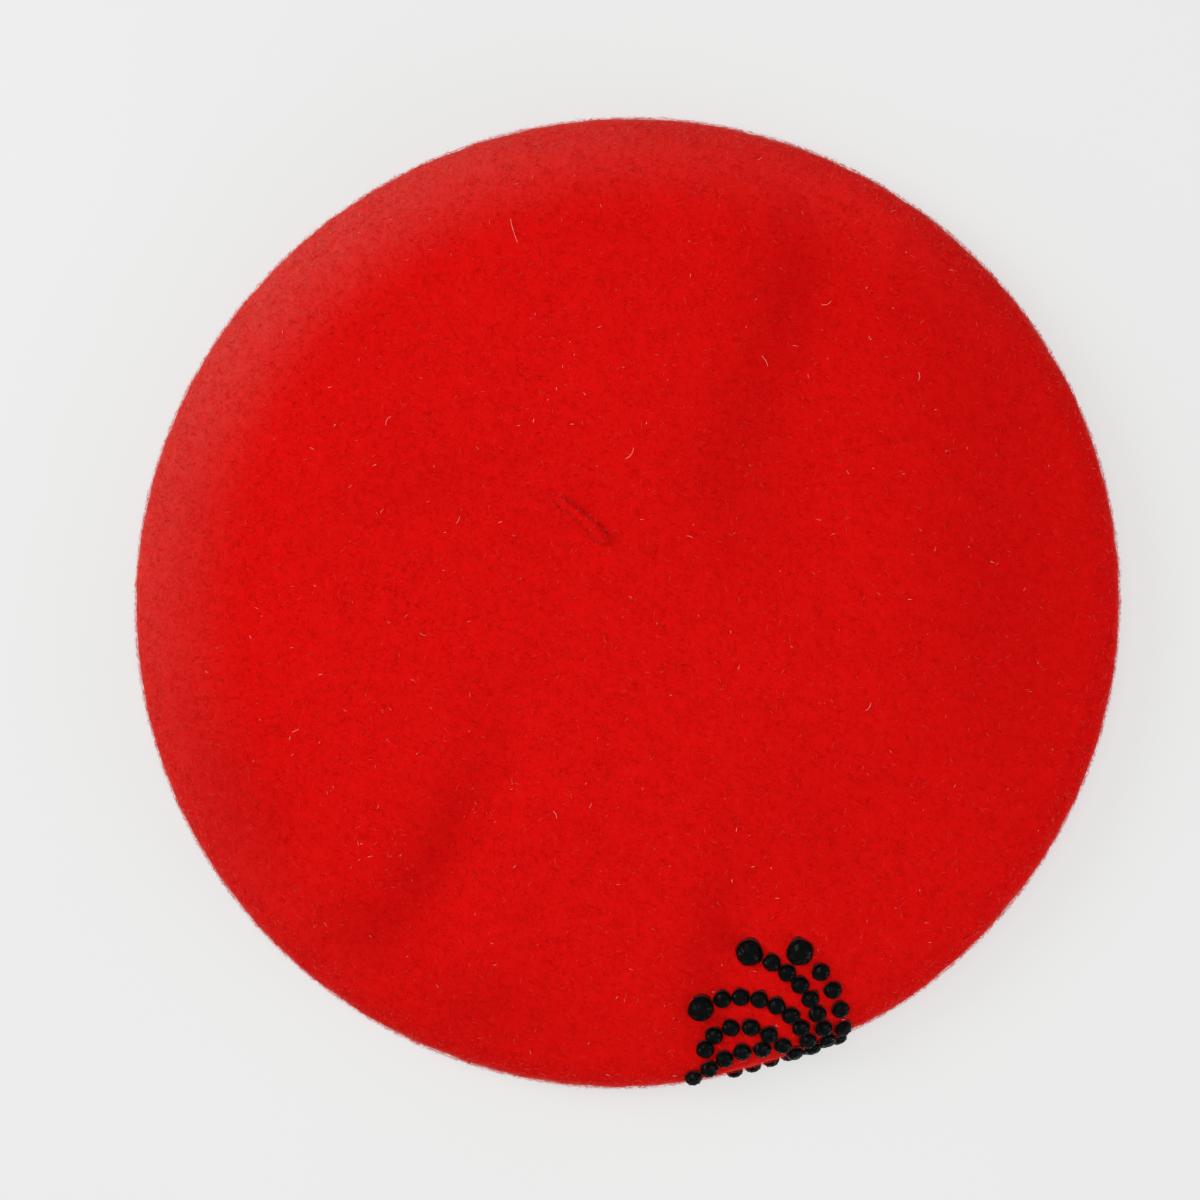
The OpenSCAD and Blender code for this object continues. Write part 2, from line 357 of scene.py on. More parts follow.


# Patches of painted shade over the crown's creases and where its slopes turn from the light:
# (x, y, half length, half width, direction, how much darker).
PAINTED_SHADE = [(105, 8, 60, 26, 92, 0.20), (30, 46, 32, 15, 70, 0.18), (46, 88, 20, 11, 75, 0.20),
           (-52, -66, 28, 8, 62, 0.24), (-80, -92, 16, 9, 45, 0.20), (-112, -52, 30, 12, 118, 0.22),
           (-45, -112, 26, 13, 170, 0.16), (50, -62, 26, 16, 80, 0.12), (24, -95, 24, 7, 78, 0.20),
           (-125, 20, 50, 12, 88, 0.12), (-56, 34, 26, 9, 20, 0.10), (80, 80, 30, 20, 130, 0.12)]


def painted_shade_share(x, y):
    """How much painted shade darkens a place of the crown."""
    total = np.zeros(np.broadcast(x, y).shape)
    for at_x, at_y, half_length, half_width, way, darker in PAINTED_SHADE:
        c, s = math.cos(math.radians(way)), math.sin(math.radians(way))
        along, across = (x - at_x) * c + (y - at_y) * s, (y - at_y) * c - (x - at_x) * s
        total += darker * np.exp(-(along / half_length) ** 2 - (across / half_width) ** 2)
    return total


def set_attribute(piece, name, values):
    layer = piece.data.attributes.new(name, "FLOAT", "POINT")
    layer.data.foreach_set("value", np.asarray(values, np.float32))


def attribute(nodes, name):
    node = nodes.new("ShaderNodeAttribute")
    node.attribute_name = name
    return node.outputs["Fac"]


def felt_material(name, sheen):
    material, nodes, links, shader = new_material(name)
    clouds = texture(nodes, links, "ShaderNodeTexNoise", 28, Detail=3, Roughness=0.6)
    tufts = texture(nodes, links, "ShaderNodeTexNoise", 420, Detail=4, Roughness=0.65, Distortion=0.8)
    strands = texture(nodes, links, "ShaderNodeTexNoise", 1500, Detail=5, Roughness=0.7, Distortion=2.2)
    body = ramp(nodes, links, clouds.outputs["Fac"], [(0.3, DEEP_RED), (0.55, RED), (0.8, RED)])
    tufted = ramp(nodes, links, tufts.outputs["Fac"], [(0.32, DEEP_RED), (0.5, RED), (0.72, PALE_RED)])
    fine = ramp(nodes, links, strands.outputs["Fac"], [(0.35, DEEP_RED), (0.5, RED), (0.68, PALE_RED)])
    colour = mix(nodes, links, 0.5, mix(nodes, links, 0.42, body, tufted), fine)
    # Painted sheen: pale pink by the rim, broken up where the tufts are low.
    gaps = ramp(nodes, links, tufts.outputs["Fac"], [(0.2, (0.3, 0.3, 0.3)), (0.7, (1, 1, 1))])
    broken = nodes.new("ShaderNodeMath")
    broken.operation = "MULTIPLY"
    links.new(attribute(nodes, "painted_sheen"), broken.inputs[0])
    links.new(gaps, broken.inputs[1])
    colour = mix(nodes, links, broken.outputs["Value"], colour, PAINTED_SHEEN)
    # Painted shade: darker patches over the creases.
    colour = mix(nodes, links, attribute(nodes, "painted_shade"), colour, PAINTED_SHADE_RED)
    links.new(colour, shader.inputs["Base Color"])
    relief = bump(nodes, links, tufts.outputs["Fac"], 0.0005, 0.24)
    links.new(bump(nodes, links, strands.outputs["Fac"], 0.00022, 0.27, relief), shader.inputs["Normal"])
    shader.inputs["Roughness"].default_value = 1.0
    shader.inputs["Specular IOR Level"].default_value = 0.0
    shader.inputs["Sheen Weight"].default_value = sheen
    shader.inputs["Sheen Roughness"].default_value = 0.28
    shader.inputs["Sheen Tint"].default_value = (1.0, 0.55, 0.5, 1)
    return material


def plain_fibre(name, colour):
    """A fibre's colour is one value, because a fibre is thinner than any grain; the nap mixes several."""
    material, _, _, shader = new_material(name)
    shader.inputs["Base Color"].default_value = (*colour, 1)
    shader.inputs["Roughness"].default_value = 1.0
    shader.inputs["Specular IOR Level"].default_value = 0.0
    return material


def ribbon_material():
    material, nodes, links, shader = new_material("black_grosgrain")
    grain = texture(nodes, links, "ShaderNodeTexNoise", 900, (1, 1, 6), Detail=4, Roughness=0.6)
    worn = texture(nodes, links, "ShaderNodeTexNoise", 60, Detail=3)
    dark = ramp(nodes, links, grain.outputs["Fac"],
                [(0.35, (0.010, 0.010, 0.012)), (0.65, (0.032, 0.032, 0.036))])
    dusty = ramp(nodes, links, worn.outputs["Fac"],
                 [(0.4, (0.016, 0.016, 0.018)), (0.75, (0.045, 0.043, 0.043))])
    links.new(mix(nodes, links, 0.35, dark, dusty), shader.inputs["Base Color"])
    links.new(bump(nodes, links, grain.outputs["Fac"], 0.0002, 0.5), shader.inputs["Normal"])
    shader.inputs["Roughness"].default_value = 0.6
    shader.inputs["Sheen Weight"].default_value = 0.2
    return material


def thread_material():
    material, nodes, links, shader = new_material("black_thread")
    ply = texture(nodes, links, "ShaderNodeTexWave", 1400, Distortion=0.6, Detail=2)
    colour = ramp(nodes, links, ply.outputs["Fac"], [(0.2, (0.02, 0.02, 0.022)), (0.8, (0.07, 0.07, 0.075))])
    links.new(colour, shader.inputs["Base Color"])
    links.new(bump(nodes, links, ply.outputs["Fac"], 0.0001, 0.7), shader.inputs["Normal"])
    shader.inputs["Roughness"].default_value = 0.5
    return material


def label_material():
    material, nodes, links, shader = new_material("white_label_tape")
    weft = texture(nodes, links, "ShaderNodeTexWave", 1300, (0.1, 1, 1), Distortion=0.3)
    stain = texture(nodes, links, "ShaderNodeTexNoise", 150, Detail=3)
    cloth = ramp(nodes, links, weft.outputs["Fac"], [(0.2, (0.66, 0.64, 0.60)), (0.8, (0.82, 0.81, 0.78))])
    aged = ramp(nodes, links, stain.outputs["Fac"], [(0.4, (0.80, 0.78, 0.74)), (0.75, (0.68, 0.63, 0.55))])
    links.new(mix(nodes, links, 0.3, cloth, aged), shader.inputs["Base Color"])
    links.new(bump(nodes, links, weft.outputs["Fac"], 0.00008, 0.6), shader.inputs["Normal"])
    shader.inputs["Roughness"].default_value = 0.55
    shader.inputs["Sheen Weight"].default_value = 0.15
    return material


def stone_material():
    material, nodes, links, shader = new_material("jet_stone")
    haze = texture(nodes, links, "ShaderNodeTexNoise", 700, Detail=4, Roughness=0.6)
    colour = ramp(nodes, links, haze.outputs["Fac"],
                  [(0.35, (0.0012, 0.0022, 0.0020)), (0.7, (0.0035, 0.005, 0.0045))])
    links.new(colour, shader.inputs["Base Color"])
    rough = nodes.new("ShaderNodeMapRange")
    rough.inputs["To Min"].default_value = 0.08
    rough.inputs["To Max"].default_value = 0.3
    links.new(haze.outputs["Fac"], rough.inputs["Value"])
    links.new(rough.outputs["Result"], shader.inputs["Roughness"])
    shader.inputs["Specular IOR Level"].default_value = 0.045
    return material


def glue_material():
    material, nodes, links, shader = new_material("clear_glue")
    clots = texture(nodes, links, "ShaderNodeTexNoise", 500, Detail=3)
    colour = ramp(nodes, links, clots.outputs["Fac"],
                  [(0.35, (0.035, 0.0025, 0.0032)), (0.7, (0.12, 0.005, 0.006))])
    links.new(colour, shader.inputs["Base Color"])
    links.new(bump(nodes, links, clots.outputs["Fac"], 0.0003, 0.4), shader.inputs["Normal"])
    shader.inputs["Roughness"].default_value = 0.5
    shader.inputs["Specular IOR Level"].default_value = 0.1
    return material


FELT, STALK_FELT = felt_material("red_wool_felt", 0.5), felt_material("rolled_felt", 0.06)
NAP = [plain_fibre("nap_red", (0.64, 0.0040, 0.0034)), plain_fibre("nap_bright", (0.74, 0.010, 0.008)),
       plain_fibre("nap_light", (0.80, 0.022, 0.017)), plain_fibre("nap_pale", (0.86, 0.11, 0.09))]
LINT = [plain_fibre("lint_pale", (0.85, 0.42, 0.36)), plain_fibre("lint_pink", (0.86, 0.13, 0.11))]
RIBBON, THREAD, LABEL = ribbon_material(), thread_material(), label_material()
STONE, GLUE = stone_material(), glue_material()


# ---------------------------------------------------------------- the felt shell
def felt_shell():
    """The whole felt body: over the crown, under the rim, round the collar and back along the inside."""
    columns = 480
    a = np.linspace(0, 360, columns, endpoint=False)
    crown = np.concatenate([np.linspace(CROWN_U - 1.2, 32, 66), np.arange(31, 0, -1.1)])
    under = np.concatenate([-np.linspace(0, LOWER_U, 14), np.linspace(-LOWER_U - 3, HEM_U + 2.5, 16)])
    outside = np.concatenate([crown, under])
    inside = np.concatenate([np.linspace(HEM_U + FELT_T + 3, -LOWER_U, 12), -np.linspace(LOWER_U, 0, 8)[1:],
                             np.linspace(0, CROWN_U - 4, 44)[1:]])
    rows = []
    for u in outside:
        p = felt_point(a, np.full(columns, u))
        n = felt_normal(a, np.full(columns, u))
        relief = 0.16 * lumps(p, 9, SEED) + 0.07 * lumps(p, 3.2, SEED + 1)
        rows.append(p + (relief * smooth((p[:, 2] - 0.4) / 3))[:, None] * n)
    corner, edge = 1.1, FELT_T / 2
    hem = [(HEM_R + corner - corner * math.sin(t), corner - corner * math.cos(t))
           for t in np.radians([0, 30, 60, 90])]
    hem += [(HEM_R, 0.5 * COLLAR_H), (HEM_R, COLLAR_H - edge)]
    hem += [(HEM_R + edge - edge * math.cos(t), COLLAR_H - edge + edge * math.sin(t))
            for t in np.radians([45, 90, 135, 180])]
    hem += [(HEM_R + FELT_T, 0.5 * COLLAR_H), (HEM_R + FELT_T, FELT_T + 0.5)]
    for r, z in hem:
        wave = 0.12 * np.sin(np.radians(a * 23)) * (z > 2)
        rows.append(np.stack([r * np.cos(np.radians(a)), r * np.sin(np.radians(a)), z + wave], -1))
    for u in inside:
        p = felt_point(a, np.full(columns, u), FELT_T)
        rows.append(p + 0.12 * lumps(p, 6, SEED + 2)[:, None] * np.array([0, 0, 1]))
    points = np.concatenate(rows)
    top = felt_point(np.zeros(1), np.full(1, CROWN_U))
    count = len(rows)
    points = np.vstack([points, top, top - [0, 0, FELT_T]])
    j, last, middle = np.arange(columns), (count - 1) * columns, np.full(columns, count * columns)
    caps = np.vstack([np.stack([middle, j, (j + 1) % columns], -1),
                      np.stack([last + (j + 1) % columns, last + j, middle + 1], -1)])
    quads = grid_faces(count, columns)[:, ::-1]
    piece = make_mesh("felt", points, [quads, caps], [FELT])
    # The crown's outer face carries the painted sheen by the rim and the painted shade over the creases.
    outer = points[:, 2] > RIM_H * 0.5
    set_attribute(piece, "painted_sheen", painted_sheen_share(points[:, 0], points[:, 1]) * outer)
    set_attribute(piece, "painted_shade", painted_shade_share(points[:, 0], points[:, 1]) * outer)
    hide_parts("felt_body")
    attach(piece, "root")


felt_shell()


def nap(name, count, seed, u_low, u_high, long, stand, thick, painted_rim_sheen=0.0):
    """Short fibres that lie over the felt from u_low to u_high in every direction.

    stand is how far they rise from the felt for their length, and painted_rim_sheen adds pale ones by the rim
    as painted sheen.
    """
    rng = np.random.default_rng(seed)
    u = rng.uniform(u_low, u_high, count * 3)
    keep = rng.uniform(0, CROWN_R, len(u)) < meridian(u)[0]
    u = u[keep][:count]
    a = rng.uniform(0, 360, len(u))
    roots, n = felt_point(a, u), felt_normal(a, u)
    lie = unit(np.cross(n, rng.normal(size=n.shape)))
    stand = stand * rng.uniform(0.2, 1, (len(u), 1))
    lie = unit(lie + stand * n)
    length = long * rng.uniform(0.5, 1.3, len(u))
    width = thick * rng.uniform(0.6, 1.25, len(u))
    # Painted sheen: pale fibres crowd by the rim and on the side towards the light; a few are pale anywhere.
    pale = 0.03 + painted_rim_sheen * smooth(1 - np.abs(u) / 16) + 0.4 * painted_sheen_share(roots[:, 0], roots[:, 1])
    piece = fibres(name, roots - 0.03 * n, lie, n, length, width, rng.uniform(-1, 1, len(u)), NAP, rng, pale)
    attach(piece, "root")


for number in range(4):
    nap(f"nap_crown_{number + 1}", 16000, 100 + number, 0, CROWN_U, long=1.7, stand=0.18, thick=0.07)
for number in range(2):
    nap(f"nap_tufts_{number + 1}", 15000, 150 + number, 0, CROWN_U,
        long=1.9, stand=0.08, thick=0.10, painted_rim_sheen=0.35)
    nap(f"nap_rim_{number + 1}", 15000, 200 + number, -12, 14, long=1.2, stand=1.0, thick=0.07, painted_rim_sheen=0.5)


# ---------------------------------------------------------------- the stones
FAN_ANGLE = -67             # the middle of the fan's foot on the rim
STONE_D, TIP_D, STONE_H = 5.0, 7.4, 1.9
STONE_SIDES = 16
STONE_LIFT = 0.5            # the stones' backs stand this far off the felt
# Each row runs over the felt from the fan's foot, straight at first and then round a bend: (distance along
# the rim, distance over the rim, heading, straight length, bend in degrees, radius of the bend, pitch,
# stones, gap to a tip stone or 0).
ROWS = [(7, 1.5, 70, 4, 60, 38, 6.8, 5, 9), (4, 5.5, 90, 12, 60, 32, 5.4, 7, 7),
        (-1, 3.5, 95, 10, 110, 18, 5.2, 8, 7), (-6.3, 5, 115, 10, 120, 11, 5.6, 7, 0),
        (-14.5, 11, 168, 3, 35, 14, 5.7, 5, 0), (3, -1.5, 180, 0, 0, 1, 5.5, 6, 0),
        (0.5, -6.5, 180, 0, 0, 1, 5.5, 5, 0)]
WALK = 0.25                 # length of a step along a row


def row_place(row, distance):
    """The place of the fan at a distance along a row: (along the rim, over the rim)."""
    along, over, heading, straight, bend, radius = row[:6]
    at = 0.0
    while at < distance - 0.001:
        step = min(WALK, distance - at)
        h = math.radians(heading + max(0, min(bend, math.degrees((at - straight) / radius))))
        along, over, at = along + step * math.cos(h), over + step * math.sin(h), at + step
    return along, over


def on_felt(place):
    """The point of the felt at a place of the fan, with the two directions along it and the one out of it."""
    along, over = place
    a = np.array([FAN_ANGLE + math.degrees(along / float(meridian(over)[0]))])
    u = np.array([over])
    p, n = felt_point(a, u)[0], felt_normal(a, u)[0]
    x = unit(np.cross([0, 0, 1.0], n))
    return p, x, np.cross(n, x), n


def stone_part(place, diameter, turn):
    """A flat-backed stone: a girdle, eight kites, eight stars and a table."""
    p, x, y, n = on_felt(place)
    r, h = diameter / 2, STONE_H * diameter / STONE_D
    # Each ring's radius and height as shares of r and h, at its even corners and at its odd ones.
    rings = [((0.93, 0), (0.93, 0)), ((1, 0.1), (1, 0.1)), ((1, 0.3), (1, 0.3)),
             ((0.776, 0.6912), (0.824, 0.7632)), ((0.46, 1), (0.46 * math.cos(math.pi / 8), 1))]
    points = []
    for corners in rings:
        for k in range(STONE_SIDES):
            a = math.radians(turn + 360 * k / STONE_SIDES)
            reach, rise = corners[k % 2]
            points.append(p + (STONE_LIFT + rise * h) * n + reach * r * (math.cos(a) * x + math.sin(a) * y))
    points.append(p + (STONE_LIFT + h) * n)
    points.append(p + STONE_LIFT * n)
    end = len(rings) * STONE_SIDES
    last = end - STONE_SIDES
    table = [[last + k, last + (k + 1) % STONE_SIDES, end] for k in range(STONE_SIDES)]
    back = [[(k + 1) % STONE_SIDES, k, end + 1] for k in range(STONE_SIDES)]
    return np.array(points), grid_faces(len(rings), STONE_SIDES), np.array(table + back)


def glue_part(place, diameter, seed):
    """A bead of glue: a low lens with a wandering edge that shows round the stone."""
    p, x, y, n = on_felt(place)
    rng = np.random.default_rng(seed)
    sides = 28
    a = np.linspace(0, 2 * math.pi, sides, endpoint=False)
    wander = 1 + sum(rng.uniform(0.01, 0.05) * np.cos(k * a + rng.uniform(0, 6.3)) for k in range(2, 6))
    rings = ((1.0, -0.25), (1.08, 0.02), (1.02, 0.22), (0.85, 0.32))    # (share of the radius, height)
    points = []
    for share, z in rings:
        reach = share * 0.505 * diameter * wander
        points.append(p + z * n + reach[:, None] * (np.cos(a)[:, None] * x + np.sin(a)[:, None] * y))
    points = np.vstack(points + [[p + 0.34 * n], [p - 0.3 * n]])
    j, middle = np.arange(sides), np.full(sides, len(rings) * sides)
    last = middle - sides
    lid = np.stack([last + j, last + (j + 1) % sides, middle], -1)
    floor = np.stack([(j + 1) % sides, j, middle + 1], -1)
    return points, grid_faces(len(rings), sides), np.vstack([lid, floor])


def stone_row(name, cad_name, places, diameter, seed):
    """One piece with the stones at these places and one with their beads of glue."""
    rng = np.random.default_rng(seed)
    stones = join_parts([stone_part(p, diameter, rng.uniform(0, 45)) for p in places])
    beads = join_parts([glue_part(p, diameter, seed + k) for k, p in enumerate(places)])
    for kind, part, material, slot in (("stones", stones, STONE, "jet_stone"),
                                       ("glue", beads, GLUE, "clear_glue")):
        piece = make_mesh(f"{name}_{kind}", part[0], part[1:], [material], kind == "glue")
        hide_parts(f"{cad_name}_{kind}")
        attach(piece, "root")


tips = [row_place(row, (row[7] - 1) * row[6] + row[8]) for row in ROWS if row[8] > 0]
stone_row("fan_tip", "tip", tips, TIP_D, 300)
for number, row in enumerate(ROWS, 1):
    stone_row(f"fan_row_{number}", f"arc_{number}", [row_place(row, i * row[6]) for i in range(row[7])],
              STONE_D, 310 + 10 * number)


# ---------------------------------------------------------------- the stalk
stalk_joint = next(j for j in frame["joints"] if j["name"] == "stalk_bend")
bend_at = np.array(stalk_joint["pos_m"]) / MM
stalk_axis = np.array(stalk_joint["axis"])
stalk_way = np.cross([0, 0, 1.0], stalk_axis)
STALK_L, STALK_R = 19.0, 1.95
STALK_SIDES = 28


def crown_height(x, y):
    """Height of the crown's outer face, without the oval of the rim."""
    r = np.hypot(x, y)
    shell = (1 - (r / CROWN_R) ** SHOULDER) ** (1 / SHOULDER)
    return RIM_H + (CROWN_H - RIM_H) * shell - crease_depth(x, y)


def stalk_path():
    """The stalk's middle line, up through the crown and then along it, with the distances from its foot."""
    d = np.concatenate([np.full(4, 0.0), np.linspace(0.5, STALK_L - 1.5, 34)])
    lying = np.array([bend_at[0], bend_at[1], 0]) + d[:, None] * stalk_way
    lying[:, :2] += (0.5 * np.sin(d / STALK_L * math.pi * 1.4))[:, None] * stalk_axis[None, :2]
    ground = crown_height(lying[:, 0], lying[:, 1])
    hump, low = 4, 1.15     # length of the hump at the foot, and height of the middle line after it
    rise = np.where(d < hump, low + 0.35 * np.sin(d / hump * math.pi), low)
    z = ground + rise
    z[:4] = ground[0] + np.array([-2.4, -1.4, -0.2, 0.8])
    lying[:, 2] = z
    return lying, d


def stalk():
    path, d = stalk_path()
    radius = STALK_R * (1 - 0.16 * (d / STALK_L)) * np.where(d > STALK_L - 3.2, 0.97, 1)
    radius[-4:] *= [0.97, 0.9, 0.76, 0.5]
    radius[:3] = STALK_R * np.array([1.5, 1.45, 1.25])
    p, quads, ends = tube(path, radius, STALK_SIDES, 0.86, up=tuple(stalk_axis))
    middle = path[np.minimum(np.arange(len(p)) // STALK_SIDES, len(path) - 1)]
    out = unit(p - middle + 1e-9)
    p = p + (0.24 * lumps(p, 3.0, SEED + 5) + 0.12 * lumps(p, 1.1, SEED + 6))[:, None] * out
    piece = make_mesh("stalk", p, [quads, ends], [STALK_FELT])
    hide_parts("crown_stalk")
    rng = np.random.default_rng(SEED + 7)
    pick = rng.integers(STALK_SIDES * 3, len(p) - 2, 420)
    roots = p[pick] - 0.05 * out[pick]
    lie = unit(0.25 * out[pick] + unit(np.cross(out[pick], rng.normal(size=(len(pick), 3)))))
    fuzz = fibres("stalk_fuzz", roots, lie, out[pick],
                  rng.uniform(0.4, 1.5, len(pick)), rng.uniform(0.05, 0.09, len(pick)),
                  rng.uniform(-1, 1, len(pick)), NAP, rng, 0.3)
    for part in (piece, fuzz):
        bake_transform(part)


stalk()


def knot():
    """An overhand knot of the stalk's yarn, under the crown."""
    t = np.linspace(0, 2 * math.pi, 90, endpoint=False)
    x = np.sin(t) + 2 * np.sin(2 * t)
    y = np.cos(t) - 2 * np.cos(2 * t)
    z = -np.sin(3 * t)
    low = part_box("stalk_knot")[0][2] / MM
    centre = np.array([bend_at[0], bend_at[1], low + 1.9])
    path = centre + np.stack([0.72 * x, 0.72 * y, 0.75 * z], -1)
    sides = 14
    along = unit(np.roll(path, -1, 0) - np.roll(path, 1, 0))
    side = unit(np.cross([0.1, 0.05, 1.0], along))
    top = np.cross(along, side)
    a = np.linspace(0, 2 * math.pi, sides, endpoint=False)
    ring = np.cos(a)[None, :, None] * side[:, None] + np.sin(a)[None, :, None] * top[:, None]
    points = (path[:, None] + 1.15 * ring).reshape(-1, 3)
    points = points + 0.1 * lumps(points, 1.5, SEED + 8)[:, None] * ring.reshape(-1, 3)
    loop = (points, grid_faces(len(path), sides, closed_rows=True), np.zeros((0, 3), int))
    tail_t = np.linspace(0, 1, 16)
    tail_path = centre + np.stack([1.5 + 5.5 * tail_t, -1 + 3 * tail_t ** 2, -0.6 + 0.2 * tail_t], -1)
    tail = tube(tail_path, 1.0 - 0.35 * tail_t, 12)
    neck_path = centre + np.stack([0 * tail_t, 0 * tail_t, 4.6 * tail_t], -1)
    neck = tube(neck_path, 1.5 + 0.3 * tail_t, sides, up=(1, 0, 0))
    p, quads, ends = join_parts([loop, tail, neck])
    piece = make_mesh("knot", p, [quads, ends], [FELT])
    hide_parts("stalk_knot")
    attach(piece, "root")


knot()


# ---------------------------------------------------------------- the sweatband
BACK = 90.0                 # angle of the back of the hat
OVERLAP = 3.6               # half the overlap of the ribbon's ends, in degrees
RIB_PITCH = 0.9
BAND_Z, BAND_TOP = band_low[2], band_high[2]


def ribbon():
    """The ribbon is one strip whose end lies over its start at the back."""
    length = math.radians(360 + 2 * OVERLAP) * HEAD_R
    per_rib = 4
    columns = int(length / RIB_PITCH) * per_rib
    s = np.linspace(0, 1, columns)
    a = BACK - OVERLAP + s * (360 + 2 * OVERLAP)
    step_in = 0.72 * smooth((a - (BACK + 360 - OVERLAP - 3)) / 3)
    rib = 0.5 - 0.5 * np.cos(2 * math.pi * np.arange(columns) / per_rib)
    v = np.array([0, 0.02, 0.06, 0.12, 0.3, 0.5, 0.7, 0.88, 0.94, 0.98, 1.0])
    edge = np.clip(np.minimum(v, 1 - v) / 0.03, 0, 1)
    rows = []
    half = 0.27
    for face in (-1, 1):
        order = range(len(v)) if face < 0 else range(len(v) - 1, -1, -1)
        for i in order:
            wave = 0.10 * np.sin(np.radians(a * 7) + v[i] * 2) * v[i]
            r = HEAD_R + 0.48 - step_in + face * (half * (0.45 + 0.55 * edge[i]) + 0.1 * rib * edge[i]) + wave
            picot = 0.12 * rib * {0: -1, 1: 1}.get(v[i], 0)
            z = BAND_Z + v[i] * (BAND_TOP - BAND_Z) + picot
            rows.append(np.stack([r * np.cos(np.radians(a)), r * np.sin(np.radians(a)), z], -1))
    count = len(rows)
    quads = grid_faces(count, columns, closed_rows=True, closed_columns=False)
    ends = []
    for column in (0, columns - 1):
        ring = [i * columns + column for i in range(count)]
        for i in range(count // 2 - 1):
            quad = [ring[i], ring[i + 1], ring[count - 2 - i], ring[count - 1 - i]]
            ends.append(quad if column == 0 else quad[::-1])
    piece = make_mesh("ribbon", np.concatenate(rows), [quads, np.array(ends)], [RIBBON])
    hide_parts("sweatband")
    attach(piece, "root")


def stitch(centre, way, out, long, thick=0.42):
    """One stitch: a thread that comes out of the cloth, crosses it and goes back in, a little plied."""
    t = np.linspace(-1, 1, 11)
    rise = 0.30 * (1 - t ** 4) - 0.12
    path = centre + (t * long / 2)[:, None] * way + rise[:, None] * out
    twist = 1 + 0.08 * np.cos(t * 9)
    return tube(path, thick / 2 * twist * (1 - 0.35 * t ** 6), 8, up=tuple(out))


def round_frame(a, r, z):
    """A point at an angle inside the band, with the directions round the band and inwards."""
    c, s = math.cos(math.radians(a)), math.sin(math.radians(a))
    return np.array([r * c, r * s, z]), np.array([-s, c, 0]), np.array([-c, -s, 0])


def band_stitches():
    count = 96
    parts = []
    for i in range(count):
        centre, way, out = round_frame(360 * (i + 0.5) / count, HEAD_R + 0.1, BAND_Z + 2)
        parts.append(stitch(centre, unit(way + [0, 0, 0.12 * (-1) ** i]), out, 3.4))
    p, quads, ends = join_parts(parts)
    piece = make_mesh("band_stitches", p, [quads, ends], [THREAD])
    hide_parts("sweatband_stitching")
    seam = []
    for i in range(7):
        centre, way, out = round_frame(BACK + 2.6, HEAD_R - 0.55, BAND_Z + 4 + 2.2 * i)
        seam.append(stitch(centre, np.array([0, 0, 1.0]), out, 1.8, 0.4))
    p, quads, ends = join_parts(seam)
    closing = make_mesh("band_seam_stitches", p, [quads, ends], [THREAD])
    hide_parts("band_seam_stitching")
    for part in (piece, closing):
        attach(part, "root")


ribbon()
band_stitches()


# ---------------------------------------------------------------- the care label
def care_label():
    """A blank woven tape with a slight curve, and the stitches along its top edge."""
    low, high = (np.array(c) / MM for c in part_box("care_label"))
    across, down = 25, 14
    x = np.linspace(low[0], high[0], across)
    z = np.linspace(high[2] - 0.1, low[2] + 0.2, down)
    xx, zz = np.meshgrid(x, z)
    hang = (high[2] - zz) / (high[2] - low[2])
    curve = 0.5 * hang ** 1.5 * np.cos(xx / 9) + 0.12 * np.sin(xx * 0.9) * hang
    middle = (low[1] + high[1]) / 2 + 0.25 + curve
    half = 0.14
    front = np.stack([xx, middle - half, zz], -1).reshape(-1, 3)
    back = np.stack([xx, middle + half, zz], -1).reshape(-1, 3)
    count = across * down
    face = grid_faces(down, across, closed_columns=False)
    rim = (list(range(across)) + [i * across + across - 1 for i in range(1, down)]
           + [(down - 1) * across + i for i in range(across - 2, -1, -1)]
           + [i * across for i in range(down - 2, 0, -1)])
    sides = [[rim[i], rim[(i + 1) % len(rim)], rim[(i + 1) % len(rim)] + count, rim[i] + count]
             for i in range(len(rim))]
    piece = make_mesh("label", np.vstack([front, back]),
                      [face, face[:, ::-1] + count, np.array(sides)[:, ::-1]], [LABEL])
    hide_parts("care_label")
    stitches = 9
    parts = []
    for i in range(stitches):
        centre = np.array([low[0] + (high[0] - low[0]) * (i + 0.5) / stitches, high[1] + 0.12, high[2] - 1.4])
        parts.append(stitch(centre, np.array([1.0, 0, 0]), np.array([0, 1.0, 0]), 2.0, 0.3))
    p, quads, ends = join_parts(parts)
    sewn = make_mesh("label_stitches", p, [quads, ends], [THREAD])
    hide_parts("label_stitching")
    for part in (piece, sewn):
        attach(part, "label")


care_label()


